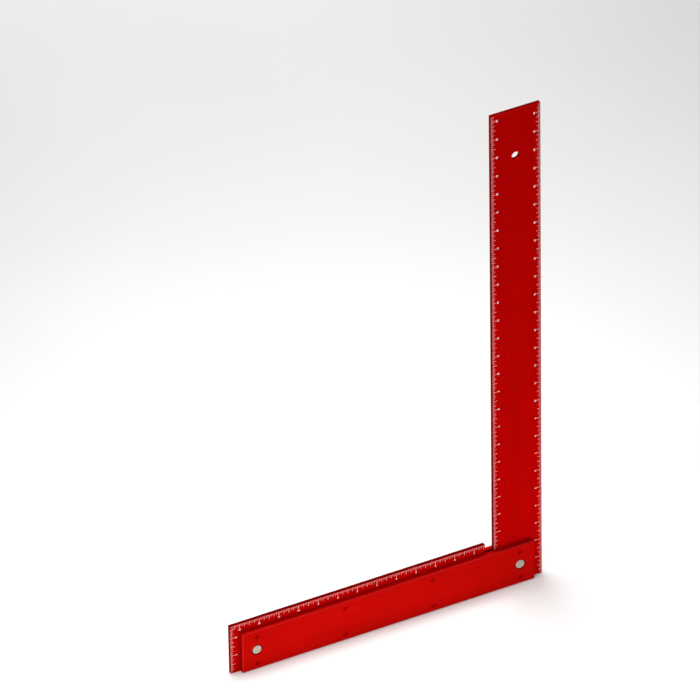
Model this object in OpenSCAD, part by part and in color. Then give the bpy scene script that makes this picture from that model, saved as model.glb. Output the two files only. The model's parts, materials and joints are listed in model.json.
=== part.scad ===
// Try square: a one-piece L-shaped blade with a cheek plate pinned on each face of its base bar.
// +Z runs up the long leg, +X along the base towards the long leg, and the front faces -Y.
// The origin is at the middle of the base's bottom edge, on the blade's mid-plane.

/* [Blade] */
// Overall height, along the outer edge of the long leg
blade_h = 673.1; // [450:0.1:900]
// Overall width, along the bottom of the base bar
blade_w = 406.4; // [300:0.1:600]
// Thickness of the blade plate
blade_t = 4.7625; // [3:0.0001:8]
// Width of the long leg
leg_w = 63.5; // [50:0.1:90]
// Height of the base bar, from its bottom edge to the top of its lip
bar_h = 68.2625; // [62:0.0001:90]

/* [Cheeks] */
// How far each end of a cheek stands in from the end of the base bar
cheek_inset = 12.7; // [5:0.1:30]
// Height of a cheek, which is flush with the bottom edge of the blade
cheek_h = 55.5625; // [50:0.0001:60]
// Thickness of a cheek
cheek_t = 6.35; // [4:0.01:12]
// Bevel round the outer face of a cheek
cheek_bevel = 1.4; // [0.3:0.1:1.8]

/* [Relief notch] */
// Width of the notch in the inner corner
notch_w = 11.1125; // [6:0.0001:14]

/* [Hang hole] */
// Diameter of the hang hole
hang_d = 9.525; // [6:0.001:14]
// Distance of the hang hole's centre below the top of the leg
hang_drop = 63.5; // [20:0.1:120]
// Chamfer on both rims of the hang hole
hang_chamfer = 0.4; // [0.1:0.1:1]

/* [Dowels] */
// Diameter of the two large dowels
dowel_d = 12; // [8:0.1:14]
// Width of the countersink round a dowel, which is 45 degrees steep
dowel_sink = 1.1; // [0.1:0.1:1.5]
// Depth of a dowel's end below the cheek's outer face
dowel_recess = 0.8; // [0.2:0.1:1.5]
// Distance of the outer pins from the ends of a cheek
pin_inset = 19.05; // [15:0.01:40]

/* [Rivets] */
// Diameter of the small rivets
rivet_d = 4.7625; // [3:0.0001:6]
// Width of the countersink round a rivet, which is 45 degrees steep
rivet_sink = 0.5; // [0.1:0.1:1]
// Depth of a rivet's end below the cheek's outer face
rivet_recess = 0.6; // [0.1:0.1:1.5]
// Distance between the two rows of rivets
row_gap = 38.1; // [26:0.1:40]
// Number of rivet columns
columns = 4; // [2:1:6]

/* [Hidden] */
$fn = 64;
eps = 0.01;
// Gap round every pin, filled by the bonding adhesive
bond_gap = 0.01;
// Edge break on the ends of the pins
pin_chamfer = 0.4;

cheek_l = blade_w - 2 * cheek_inset;
right_edge = blade_w / 2;
leg_left = right_edge - leg_w;
cheek_mid = cheek_h / 2;
stack_t = blade_t + 2 * cheek_t;
first_pin_x = -cheek_l / 2 + pin_inset;
column_pitch = (cheek_l - 2 * pin_inset) / (columns - 1);
hang_x = right_edge - leg_w / 2;
hang_z = blade_h - hang_drop;

ROWS = ["lower", "upper"];
SIDES = ["left", "right"];
function rivet_name(column, row) = str("rivet_", column + 1, "_", ROWS[row]);
function dowel_name(side) = str("dowel_", SIDES[side]);
function rivet_x(column) = first_pin_x + column * column_pitch;
function rivet_z(row) = cheek_mid + (row - 0.5) * row_gap;
function dowel_x(side) = first_pin_x + side * (cheek_l - 2 * pin_inset);

// Stands a shape drawn in the XY plane up in the XZ plane, centred on the blade's mid-plane
module upright(thickness) {
    rotate([90, 0, 0]) linear_extrude(height = thickness, center = true) children();
}

// A cylinder along Y, centred at the given place
module cross_bar(x, z, d, length) {
    translate([x, 0, z]) rotate([90, 0, 0]) cylinder(d = d, h = length, center = true);
}

// Every hole that a pin passes through
module pin_holes() {
    for (side = [0:1]) cross_bar(dowel_x(side), cheek_mid, dowel_d, stack_t + 2);
    for (column = [0:columns - 1], row = [0:1])
        cross_bar(rivet_x(column), rivet_z(row), rivet_d, stack_t + 2);
}

// A turned pin along Y with broken edges at both ends
module pin(x, z, d, length) {
    r = d / 2 - bond_gap;
    half = length / 2;
    translate([x, 0, z]) rotate([90, 0, 0]) rotate_extrude()
        polygon([
            [0, -half], [r - pin_chamfer, -half], [r, -half + pin_chamfer],
            [r, half - pin_chamfer], [r - pin_chamfer, half], [0, half]
        ]);
}

module blade_outline() {
    difference() {
        polygon([
            [-right_edge, 0], [right_edge, 0], [right_edge, blade_h],
            [leg_left, blade_h], [leg_left, bar_h], [-right_edge, bar_h]
        ]);
        relief_notch();
    }
}

// A slot beside the long leg whose straight sides end level with the cheeks' top edge
module relief_notch() {
    translate([leg_left - notch_w / 2, cheek_h]) {
        circle(d = notch_w);
        translate([-notch_w / 2, 0]) square([notch_w, bar_h - cheek_h + 1]);
    }
}

module hang_hole() {
    cross_bar(hang_x, hang_z, hang_d, blade_t + 2);
    for (turn = [0, 180]) translate([hang_x, 0, hang_z]) rotate([90 + turn, 0, 0])
        translate([0, 0, blade_t / 2 - hang_chamfer])
            cylinder(d1 = hang_d, d2 = hang_d + 4 * hang_chamfer, h = 2 * hang_chamfer);
}

module blade() {
    color([0.66, 0.02, 0.02]) difference() {
        upright(blade_t) blade_outline();
        hang_hole();
        pin_holes();
    }
}

// Rectangle from (0, 0), with its two far corners cut off
module bevelled_strip(length, depth) {
    polygon([
        [0, 0], [length, 0], [length, depth - cheek_bevel],
        [length - cheek_bevel, depth], [cheek_bevel, depth], [0, depth - cheek_bevel]
    ]);
}

// A plate on Z = 0 to cheek_h that reaches from the blade's face towards -Y, bevelled all round
module cheek_plate() {
    intersection() {
        mirror([0, 1, 0]) translate([-cheek_l / 2, blade_t / 2, 0])
            linear_extrude(height = cheek_h) bevelled_strip(cheek_l, cheek_t);
        translate([-cheek_l / 2, -blade_t / 2, 0]) rotate([90, 0, 90])
            linear_extrude(height = cheek_l) rotate(90) bevelled_strip(cheek_h, cheek_t);
    }
}

// The flared mouth of a pin's hole, from the front cheek's outer face inwards
module countersink(x, z, d, width) {
    translate([x, -stack_t / 2 - eps, z]) rotate([-90, 0, 0])
        cylinder(d1 = d + 2 * (width + eps), d2 = d, h = width + eps);
}

module front_cheek() {
    color([0.74, 0.03, 0.03]) difference() {
        cheek_plate();
        pin_holes();
        for (side = [0:1]) countersink(dowel_x(side), cheek_mid, dowel_d, dowel_sink);
        for (column = [0:columns - 1], row = [0:1])
            countersink(rivet_x(column), rivet_z(row), rivet_d, rivet_sink);
    }
}

module back_cheek() {
    mirror([0, 1, 0]) front_cheek();
}

module dowel(side) {
    color([0.75, 0.74, 0.7])
        pin(dowel_x(side), cheek_mid, dowel_d, stack_t - 2 * dowel_recess);
}

module rivet(column, row) {
    color([0.5, 0.02, 0.02])
        pin(rivet_x(column), rivet_z(row), rivet_d, stack_t - 2 * rivet_recess);
}

blade();
front_cheek();
back_cheek();
for (side = [0:1])
    dowel(side);
for (column = [0:columns - 1], row = [0:1])
    rivet(column, row);
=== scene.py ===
"""Looks of the try square: red anodised plates, steel dowels and pale inch scales on both faces."""

import json
import math
from collections import namedtuple

import bmesh
import bpy
from mathutils import Matrix, Quaternion, Vector


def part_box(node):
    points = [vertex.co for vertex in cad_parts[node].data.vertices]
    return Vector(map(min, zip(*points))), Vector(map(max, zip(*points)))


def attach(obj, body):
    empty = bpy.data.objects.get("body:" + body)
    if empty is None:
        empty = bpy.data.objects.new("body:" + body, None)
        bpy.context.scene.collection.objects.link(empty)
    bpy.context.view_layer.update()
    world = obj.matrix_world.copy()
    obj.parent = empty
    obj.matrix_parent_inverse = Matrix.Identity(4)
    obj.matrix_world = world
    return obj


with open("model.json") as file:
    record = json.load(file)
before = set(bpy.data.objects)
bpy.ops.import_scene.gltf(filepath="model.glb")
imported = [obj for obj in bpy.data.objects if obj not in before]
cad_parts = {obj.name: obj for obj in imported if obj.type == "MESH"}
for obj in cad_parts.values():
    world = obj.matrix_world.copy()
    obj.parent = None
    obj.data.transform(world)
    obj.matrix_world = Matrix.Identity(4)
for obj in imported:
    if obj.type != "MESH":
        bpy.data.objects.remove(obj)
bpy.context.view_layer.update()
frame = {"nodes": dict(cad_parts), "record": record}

# ---- Sizes and places, in metres, worked out from the frame ----

MM = 0.001
INCH = 0.0254
TINY = 0.01 * MM

BLADE_LOW, BLADE_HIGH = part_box("blade")
CHEEK_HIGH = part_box("front_cheek")[1]
MOUNTS = {mount["name"]: mount for mount in frame["record"]["mounts"]}
LEG_INNER_X = MOUNTS["inner_edge"]["pos_m"][0]
BLADE_POINTS = [vertex.co for vertex in frame["nodes"]["blade"].data.vertices]
LIP_TOP = max(point.z for point in BLADE_POINTS if point.x < BLADE_LOW.x + TINY)
LIP_POINTS = [point for point in BLADE_POINTS if abs(point.z - LIP_TOP) < TINY]
LIP_END_X = max(point.x for point in LIP_POINTS if point.x < LEG_INNER_X - TINY)

PINS = [name for name in sorted(frame["nodes"]) if name.startswith(("dowel", "rivet"))]

# ---- Edge breaks ----

BLADE_BREAK = 0.25 * MM
CHEEK_BREAK = 0.15 * MM
PIN_BREAK = 0.08 * MM
BREAK_SEGMENTS = 2
# Points of a part that are closer than this become one
WELD = TINY / 10
# Faces that meet at less than FLAT are joined, and edges that turn by more than SHARP are rounded
SHARP = math.radians(20)
FLAT = math.radians(1)

# ---- Inch scales ----

PER_INCH = 16
SIXTEENTH = INCH / PER_INCH
# Every so many sixteenths there is a mark that reaches this far from the edge and is this wide
MARK_SIZES = ((8, 0.23 * INCH, 0.26 * MM), (4, 0.19 * INCH, 0.22 * MM),
              (2, 0.14 * INCH, 0.17 * MM), (1, 0.1 * INCH, 0.14 * MM))
# A mark starts this far from the edge, and is this deep in the face and this proud of it
MARK_GAP = 0.3 * MM
MARK_SUNK = 0.05 * MM
MARK_PROUD = 0.03 * MM
# How many marks are left out at the lip's end beside the notch,
# and on the short end below the lip's top
LEFT_OUT_BY_NOTCH = 1
LEFT_OUT_BELOW_LIP = 2
# How tall the digits are, and how far from the edge their middles lie
DIGIT_HEIGHT = 0.092 * INCH
DIGIT_MIDDLE = 0.31 * INCH
# How far a digit's outline is fattened, in the font's units, and how finely its curves are cut
DIGIT_BOLD = 0.02
DIGIT_SEGMENTS = 3
# Points of a digit that are closer than this become one
SEAM = 0.002 * MM

RIGHT, UP = Vector((1, 0, 0)), Vector((0, 0, 1))
LEFT, DOWN = -RIGHT, -UP
FRONT, BACK = Vector((0, -1, 0)), Vector((0, 1, 0))

# A scale's zero, the way its numbers grow, the way from the edge into the face,
# its first and last mark in sixteenths, and how its digits lie seen from the front
Scale = namedtuple("Scale", "name zero along inward first last baseline")


def sixteenths(length):
    """The last whole sixteenth of an inch that is more than half of one short of a length's end."""
    return math.ceil(length / SIXTEENTH - 0.5) - 1


SCALES = [
    Scale("outer", Vector((BLADE_HIGH.x, 0, BLADE_LOW.z)), UP, LEFT,
          1, sixteenths(BLADE_HIGH.z - BLADE_LOW.z), DOWN),
    Scale("inner", Vector((LEG_INNER_X, 0, CHEEK_HIGH.z)), UP, RIGHT,
          1, sixteenths(BLADE_HIGH.z - CHEEK_HIGH.z), DOWN),
    Scale("lip", Vector((LEG_INNER_X, 0, LIP_TOP)), LEFT, DOWN,
          sixteenths(LEG_INNER_X - LIP_END_X) + 1 + LEFT_OUT_BY_NOTCH,
          sixteenths(LEG_INNER_X - BLADE_LOW.x), RIGHT),
    Scale("end", Vector((BLADE_LOW.x, 0, BLADE_LOW.z)), UP, RIGHT,
          1, sixteenths(LIP_TOP - BLADE_LOW.z) - LEFT_OUT_BELOW_LIP, DOWN),
]

# ---- Colours and grain ----

# The colours of a piece's faces; of its sides, painted darker as painted shade; and of the slanted
# rims between them, painted pinker, partly as wear and partly as a painted highlight
Red = namedtuple("Red", "face side rim")
BLADE_RED = Red((0.505, 0.0014, 0.0011, 1), (0.1, 0.001, 0.001, 1), (0.42, 0.007, 0.006, 1))
CHEEK_RED = Red((0.545, 0.0039, 0.0026, 1), (0.375, 0.0013, 0.0011, 1), (0.5, 0.01, 0.009, 1))
RIVET_RED = Red((0.46, 0.0014, 0.0011, 1), (0.29, 0.001, 0.001, 1), (0.46, 0.0048, 0.003, 1))
# The tint of what the red pieces mirror at a glancing angle
RED_GLINT = (1, 0.3, 0.3, 1)
STEEL_LIGHT, STEEL_DARK = (0.58, 0.5, 0.415, 1), (0.51, 0.445, 0.37, 1)
# The pins' chamfer colour, near black, is painted shade
STEEL_GROOVE, STEEL_CHAMFER_SHADE = (0.27, 0.245, 0.22, 1), (0.06, 0.05, 0.045, 1)
MARK_DARK, MARK_LIGHT = (0.9, 0.86, 0.84, 1), (0.98, 0.96, 0.95, 1)
FLOOR_DARK, FLOOR_LIGHT = (0.66, 0.66, 0.655, 1), (0.68, 0.68, 0.675, 1)

# How many times longer the brushed grain is along each axis
ALONG_LEG, ALONG_BASE = (1, 1, 40), (40, 1, 1)
RING_PITCH = 0.55 * MM
# Most of a noise's values lie between these two
NOISE_RANGE = (0.3, 0.7)
# Squareness is 0 on a piece's sides and 1 on its faces, with slanted rims between.
# These are the spans of it where sides end, slanted rims begin, and slanted rims end
SIDE_ENDS, SLANT_STARTS, SLANT_ENDS = (0.1, 0.35), (0.2, 0.5), (0.85, 0.97)
# How far in from a cheek's outline its bevel ends and its countersinks may start
BEVEL_ENDS = (2 * MM, 3 * MM)


# ---- Node materials ----

def shade(colour, amount):
    """A colour made darker or lighter."""
    return [amount * part for part in colour[:3]] + [1]


class Look:
    """A node material with one Principled shader, and short ways to add nodes to it."""

    def __init__(self, name):
        self.material = bpy.data.materials.new(name)
        self.material.use_nodes = True
        self.tree = self.material.node_tree
        self.tree.nodes.clear()
        self.shader = self.add("BsdfPrincipled")
        output = self.tree.nodes.new("ShaderNodeOutputMaterial")
        self.tree.links.new(self.shader.outputs[0], output.inputs["Surface"])

    def add(self, kind, sockets=None, **settings):
        """A new node, with its settings, and its sockets set or linked."""
        made = self.tree.nodes.new("ShaderNode" + kind)
        for name, value in settings.items():
            setattr(made, name, value)
        self.set(made, sockets or {})
        return made

    def set(self, node, sockets):
        """Links or sets a node's sockets, by name or number."""
        for name, value in sockets.items():
            if isinstance(value, bpy.types.NodeSocket):
                self.tree.links.new(value, node.inputs[name])
            else:
                node.inputs[name].default_value = value

    def place(self):
        """The point being shaded, in the row frame."""
        return self.add("TexCoord").outputs["Object"]

    def parts(self, vector):
        """A vector's X, Y and Z."""
        return self.add("SeparateXYZ", {0: vector}).outputs

    def squareness(self):
        """How squarely the surface faces the front or the back, from 0 to 1."""
        normal = self.add("TexCoord").outputs["Normal"]
        return self.math("ABSOLUTE", self.parts(normal)["Y"])

    def noise(self, size, stretch=(1, 1, 1), detail=2.0):
        """Noise from 0 to 1 whose features are about this size, longer along the stretched axes."""
        scale = [1 / (size * longer) for longer in stretch]
        place = self.add("Mapping", {"Vector": self.place(), "Scale": scale}).outputs[0]
        return self.add("TexNoise", {"Vector": place, "Scale": 1.0, "Detail": detail}).outputs[0]

    def ramp(self, value, low, high, to_low=0.0, to_high=1.0):
        """Maps low..high smoothly on to to_low..to_high."""
        sockets = {"Value": value, "From Min": low, "From Max": high,
                   "To Min": to_low, "To Max": to_high}
        return self.add("MapRange", sockets, interpolation_type="SMOOTHSTEP").outputs[0]

    def math(self, operation, first, second=0.0):
        """One step of arithmetic."""
        return self.add("Math", {0: first, 1: second}, operation=operation).outputs[0]

    def mix(self, factor, first, second):
        """Blends two colours."""
        made = self.add("Mix", data_type="RGBA")
        self.set(made, {0: factor, 6: first, 7: second})
        return made.outputs[2]

    def bump(self, height, depth, below=None):
        """A bump of this depth in metres, on top of the one below."""
        sockets = {"Height": height, "Distance": depth, "Strength": 1.0}
        if below is not None:
            sockets["Normal"] = below
        return self.add("Bump", sockets).outputs[0]

    def finish(self, **sockets):
        """Sets the shader's sockets, with _ for each space in their names, and gives the material."""
        self.set(self.shader, {name.replace("_", " "): value for name, value in sockets.items()})
        return self.material


def brushed_tone(look, face, streaks, lines):
    """A face's colour, unevenly anodised, and darker where the grain catches."""
    mottle = look.ramp(look.noise(45 * MM, detail=3.0), *NOISE_RANGE)
    tone = look.mix(mottle, shade(face, 0.97), shade(face, 1.03))
    tone = look.mix(look.math("MULTIPLY", streaks, 0.1), tone, shade(face, 0.5))
    return look.mix(look.ramp(lines, *NOISE_RANGE, 0.0, 0.2), tone, shade(face, 0.5))


def off_outline(look):
    """0 along a cheek's own outline, and 1 further in, where the countersinks get their painted
    shade.
    """
    place = look.parts(look.place())
    from_end = look.math("SUBTRACT", CHEEK_HIGH.x, look.math("ABSOLUTE", place["X"]))
    from_edge = look.math("MINIMUM", place["Z"], look.math("SUBTRACT", CHEEK_HIGH.z, place["Z"]))
    return look.ramp(look.math("MINIMUM", from_end, from_edge), *BEVEL_ENDS)


def red_anodised(name, red, grain, painted_countersink_shade=False):
    """Satin red anodised aluminium with a brushed grain, sides painted darker as painted shade, and
    slanted rims painted pinker, unevenly, partly as wear and partly as a painted highlight.
    Where the last argument is true, the slanted rims inside the cheek's outline, its countersinks,
    are painted near black as painted shade."""
    look = Look(name)
    streaks = look.ramp(look.noise(4 * MM, stretch=grain, detail=3.0), *NOISE_RANGE)
    lines = look.noise(0.35 * MM, stretch=grain, detail=3.0)
    square = look.squareness()
    tone = brushed_tone(look, red.face, streaks, lines)
    # The sides are painted darker than the faces: painted shade
    tone = look.mix(look.ramp(square, *SIDE_ENDS, 1.0, 0.0), tone, red.side)
    slanted = look.math("MULTIPLY", look.ramp(square, *SLANT_STARTS),
                        look.ramp(square, *SLANT_ENDS, 1.0, 0.0))
    # The slanted rims are painted pinker, unevenly: partly wear, partly a painted highlight
    wear_and_highlight = look.ramp(look.noise(3 * MM, detail=4.0), 0.35, 0.75, 0.6, 1.0)
    # Countersinks inside the cheek's outline are painted near black: painted shade
    rim = look.mix(off_outline(look), red.rim, shade(red.side, 0.22)) if painted_countersink_shade else red.rim
    tone = look.mix(look.math("MULTIPLY", slanted, wear_and_highlight), tone, rim)
    matt = look.math("ADD", look.math("MULTIPLY", streaks, 0.5), lines)
    speckle = look.noise(0.25 * MM, detail=1.0)
    relief = look.bump(speckle, 0.008 * MM, look.bump(lines, 0.02 * MM))
    return look.finish(Base_Color=tone, Metallic=0.75, Roughness=look.ramp(matt, 0.3, 1.1, 0.34, 0.5),
                       Normal=relief, Specular_IOR_Level=0.0, Specular_Tint=RED_GLINT)


def turning_rings(look, centre):
    """Waves from -1 to 1 in rings round an axis along Y."""
    place = look.parts(look.place())
    across = look.math("SUBTRACT", place["X"], centre.x)
    up = look.math("SUBTRACT", place["Z"], centre.z)
    squares = look.math("ADD", look.math("MULTIPLY", across, across), look.math("MULTIPLY", up, up))
    radius = look.math("POWER", squares, 0.5)
    return look.math("SINE", look.math("MULTIPLY", radius, 2 * math.pi / RING_PITCH))


def turned_steel(name, centre):
    """A bright faced pin end with fine turning rings round its own axis, and a chamfer painted near
    black as painted shade.
    """
    look = Look(name)
    rings = turning_rings(look, centre)
    smudge = look.noise(4 * MM, detail=2.0)
    scratch = look.noise(0.2 * MM, stretch=(12, 1, 1), detail=2.0)
    tone = look.mix(look.ramp(smudge, *NOISE_RANGE), STEEL_LIGHT, STEEL_DARK)
    tone = look.mix(look.ramp(rings, -1.0, 1.0, 0.0, 0.25), tone, STEEL_GROOVE)
    # The chamfer is painted near black: painted shade
    tone = look.mix(look.ramp(look.squareness(), *SLANT_ENDS, 1.0, 0.0), tone, STEEL_CHAMFER_SHADE)
    matt = look.math("ADD", smudge, look.math("MULTIPLY", rings, 0.2))
    relief = look.bump(scratch, 0.003 * MM, look.bump(rings, 0.012 * MM))
    return look.finish(Base_Color=tone, Metallic=1.0, Roughness=look.ramp(matt, 0.2, 0.9, 0.3, 0.5),
                       Normal=relief)


def pale_marks(name):
    """Laser marks: matt, and not quite even."""
    look = Look(name)
    patch = look.noise(0.6 * MM, detail=3.0)
    tone = look.mix(look.ramp(patch, *NOISE_RANGE), MARK_DARK, MARK_LIGHT)
    rough = look.ramp(patch, *NOISE_RANGE, 0.55, 0.75)
    return look.finish(Base_Color=tone, Roughness=rough, Normal=look.bump(patch, 0.01 * MM))


def pale_floor(name):
    """A matt studio floor with faint wide patches."""
    look = Look(name)
    patch = look.noise(400 * MM, detail=3.0)
    tone = look.mix(look.ramp(patch, *NOISE_RANGE), FLOOR_DARK, FLOOR_LIGHT)
    return look.finish(Base_Color=tone, Roughness=look.ramp(patch, *NOISE_RANGE, 0.85, 0.95))


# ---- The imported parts: edge breaks and materials ----

def break_edges(part, width):
    """Joins the part's triangles into flat faces and rounds its sharp edges a little."""
    part.modifiers.new("join_points", "WELD").merge_threshold = WELD
    flatten = part.modifiers.new("join_flats", "DECIMATE")
    flatten.decimate_type = "DISSOLVE"
    flatten.angle_limit = FLAT
    bevel = part.modifiers.new("edge_break", "BEVEL")
    bevel.width = width
    bevel.segments = BREAK_SEGMENTS
    bevel.limit_method = "ANGLE"
    bevel.angle_limit = SHARP
    bevel.use_clamp_overlap = False
    bevel.harden_normals = True


def dress(node, material, width):
    """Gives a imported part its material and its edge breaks."""
    part = frame["nodes"][node]
    part.data.materials.clear()
    part.data.materials.append(material)
    break_edges(part, width)


def dress_parts():
    """The blade, both cheeks, the bare dowels and the red rivets."""
    blade_red = red_anodised("blade_red", BLADE_RED, ALONG_LEG)
    # The cheeks' countersinks get painted shade
    cheek_red = red_anodised("cheek_red", CHEEK_RED, ALONG_BASE, painted_countersink_shade=True)
    rivet_red = red_anodised("rivet_red", RIVET_RED, ALONG_BASE)
    dress("blade", blade_red, BLADE_BREAK)
    for node in ("front_cheek", "back_cheek"):
        dress(node, cheek_red, CHEEK_BREAK)
    for node in PINS:
        if node.startswith("dowel"):
            low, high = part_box(node)
            dress(node, turned_steel(node + "_steel", (low + high) / 2), PIN_BREAK)
        else:
            dress(node, rivet_red, PIN_BREAK)


# ---- Scales ----

def upright_turn(across, up, outward):
    """The turn that takes X, Y and Z to these three directions."""
    return Matrix((across, up, outward)).transposed().to_4x4()


def add_mark(shape, corner, inward, outward, index):
    """One closed bar on the face, centred on its place along the edge."""
    reach, width = next(sizes for step, *sizes in MARK_SIZES if index % step == 0)
    start = corner + inward * MARK_GAP - outward * MARK_SUNK
    size = Matrix.Diagonal((width, reach - MARK_GAP, MARK_SUNK + MARK_PROUD)).to_4x4()
    turn = upright_turn(inward.cross(outward), inward, outward)
    unit = Matrix.Translation((0, 0.5, 0.5))
    bmesh.ops.create_cube(shape, size=1, matrix=Matrix.Translation(start) @ turn @ size @ unit)


def close_seams(mesh):
    """Joins the points that a shape's faces and sides have in common."""
    shape = bmesh.new()
    shape.from_mesh(mesh)
    bmesh.ops.remove_doubles(shape, verts=shape.verts, dist=SEAM)
    bmesh.ops.dissolve_degenerate(shape, edges=shape.edges, dist=SEAM)
    shape.to_mesh(mesh)
    shape.free()


def number_shape(number):
    """A number's solid digits, centred on their own middle, with their height along Y."""
    curve = bpy.data.curves.new("number", "FONT")
    curve.body = str(number)
    # Half on each side of the letters' plane makes them 1 deep, until they are sized below
    curve.extrude = 0.5
    curve.offset = DIGIT_BOLD
    curve.resolution_u = DIGIT_SEGMENTS
    holder = bpy.data.objects.new("number", curve)
    mesh = bpy.data.meshes.new_from_object(holder)
    bpy.data.objects.remove(holder)
    bpy.data.curves.remove(curve)
    points = [vertex.co for vertex in mesh.vertices]
    low = Vector(min(point[axis] for point in points) for axis in range(3))
    high = Vector(max(point[axis] for point in points) for axis in range(3))
    flat_size = DIGIT_HEIGHT / (high.y - low.y)
    size = Matrix.Diagonal((flat_size, flat_size, MARK_SUNK + MARK_PROUD, 1))
    mesh.transform(size @ Matrix.Translation(-(low + high) / 2))
    close_seams(mesh)
    return mesh


def add_number(shape, number, middle, baseline, outward, cache):
    """A number on the face, with its digits along the baseline."""
    if number not in cache:
        cache[number] = number_shape(number)
    turn = upright_turn(baseline, outward.cross(baseline), outward)
    lift = outward * (MARK_PROUD - MARK_SUNK) / 2
    copy = cache[number].copy()
    copy.transform(Matrix.Translation(middle + lift) @ turn)
    shape.from_mesh(copy)
    bpy.data.meshes.remove(copy)


def scale_mesh(name, scale, face_y, outward, cache):
    """One scale's marks and numbers on one face of the blade."""
    baseline = scale.baseline
    if outward == BACK and not baseline.z:
        baseline = -baseline
    shape = bmesh.new()
    for index in range(scale.first, scale.last + 1):
        corner = scale.zero + Vector((0, face_y, 0)) + scale.along * index * SIXTEENTH
        add_mark(shape, corner, scale.inward, outward, index)
        if index % PER_INCH == 0:
            middle = corner + scale.inward * DIGIT_MIDDLE
            add_number(shape, index // PER_INCH, middle, baseline, outward, cache)
    mesh = bpy.data.meshes.new(name)
    shape.to_mesh(mesh)
    shape.free()
    return mesh


def add_scales():
    """Each scale on each face of the blade, as a piece of its own."""
    material, cache = pale_marks("pale_marks"), {}
    for side, face_y, outward in (("front", BLADE_LOW.y, FRONT), ("back", BLADE_HIGH.y, BACK)):
        for scale in SCALES:
            mesh = scale_mesh(f"scale_{scale.name}_{side}", scale, face_y, outward, cache)
            mesh.materials.append(material)
            piece = bpy.data.objects.new(mesh.name, mesh)
            bpy.context.scene.collection.objects.link(piece)
            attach(piece, "root")
    for mesh in cache.values():
        bpy.data.meshes.remove(mesh)


# ---- Studio ----

# How far the floor reaches each way, in metres
FLOOR_REACH = 6.0
WORLD_STRENGTH = 0.49

# A softbox's place, aim and sides are in metres, its power in watts and its spread in degrees
Softbox = namedtuple("Softbox", "name place aim width height power spread")
SOFTBOXES = [
    Softbox("overhead", Vector((0.0, 0.18, 1.3)), Vector((0.1, -0.03, 0)), 0.8, 0.8, 10, 120),
    Softbox("key", Vector((-1.4, -1.0, 0.65)), Vector((-0.05, 0, 0.05)), 1.5, 1.0, 22, 180),
    Softbox("fill", Vector((0.5, 1.7, 0.6)), Vector((0, 0, 0.3)), 1.4, 0.9, 9, 180),
]

# The camera's direction seen from its aim, its tilt, its lens in millimetres,
# and its aim, its distance from it and how far it sees, in metres
AZIMUTH, ELEVATION, ROLL = math.radians(-26.33), math.radians(36.60), math.radians(-1.02)
LENS = 500
CAMERA_AIM = Vector((-0.041, 0, 0.408))
CAMERA_DISTANCE = 11.05
CAMERA_SEES_TO = 100


def add_floor():
    """A wide studio floor, level with the square's bottom edge."""
    mesh = bpy.data.meshes.new("floor")
    signs = ((-1, -1), (1, -1), (1, 1), (-1, 1))
    corners = [(x * FLOOR_REACH, y * FLOOR_REACH, 0) for x, y in signs]
    mesh.from_pydata(corners, [], [(0, 1, 2, 3)])
    mesh.materials.append(pale_floor("pale_floor"))
    floor = bpy.data.objects.new("floor", mesh)
    bpy.context.scene.collection.objects.link(floor)


def add_softbox(softbox):
    """A rectangular area light that faces its aim."""
    light = bpy.data.lights.new(softbox.name, "AREA")
    light.shape = "RECTANGLE"
    light.size = softbox.width
    light.size_y = softbox.height
    light.energy = softbox.power
    light.spread = math.radians(softbox.spread)
    lamp = bpy.data.objects.new(softbox.name, light)
    lamp.location = softbox.place
    lamp.rotation_mode = "QUATERNION"
    lamp.rotation_quaternion = (softbox.aim - softbox.place).to_track_quat("-Z", "Y")
    bpy.context.scene.collection.objects.link(lamp)


def add_world():
    """Even white light from all round."""
    world = bpy.data.worlds.new("studio")
    world.use_nodes = True
    backdrop = world.node_tree.nodes["Background"]
    backdrop.inputs["Color"].default_value = (1, 1, 1, 1)
    backdrop.inputs["Strength"].default_value = WORLD_STRENGTH
    bpy.context.scene.world = world


def add_camera():
    """A long lens, above and to the left of the front face."""
    toward = Vector((math.sin(AZIMUTH) * math.cos(ELEVATION),
                     -math.cos(AZIMUTH) * math.cos(ELEVATION), math.sin(ELEVATION)))
    camera_data = bpy.data.cameras.new("camera")
    camera_data.lens = LENS
    camera_data.clip_end = CAMERA_SEES_TO
    camera = bpy.data.objects.new("camera", camera_data)
    camera.location = CAMERA_AIM + toward * CAMERA_DISTANCE
    camera.rotation_mode = "QUATERNION"
    camera.rotation_quaternion = (-toward).to_track_quat("-Z", "Y") @ Quaternion((0, 0, 1), ROLL)
    bpy.context.scene.collection.objects.link(camera)
    bpy.context.scene.camera = camera


dress_parts()
add_scales()
add_floor()
for softbox in SOFTBOXES:
    add_softbox(softbox)
add_world()
add_camera()
bpy.context.scene.view_settings.view_transform = "Standard"
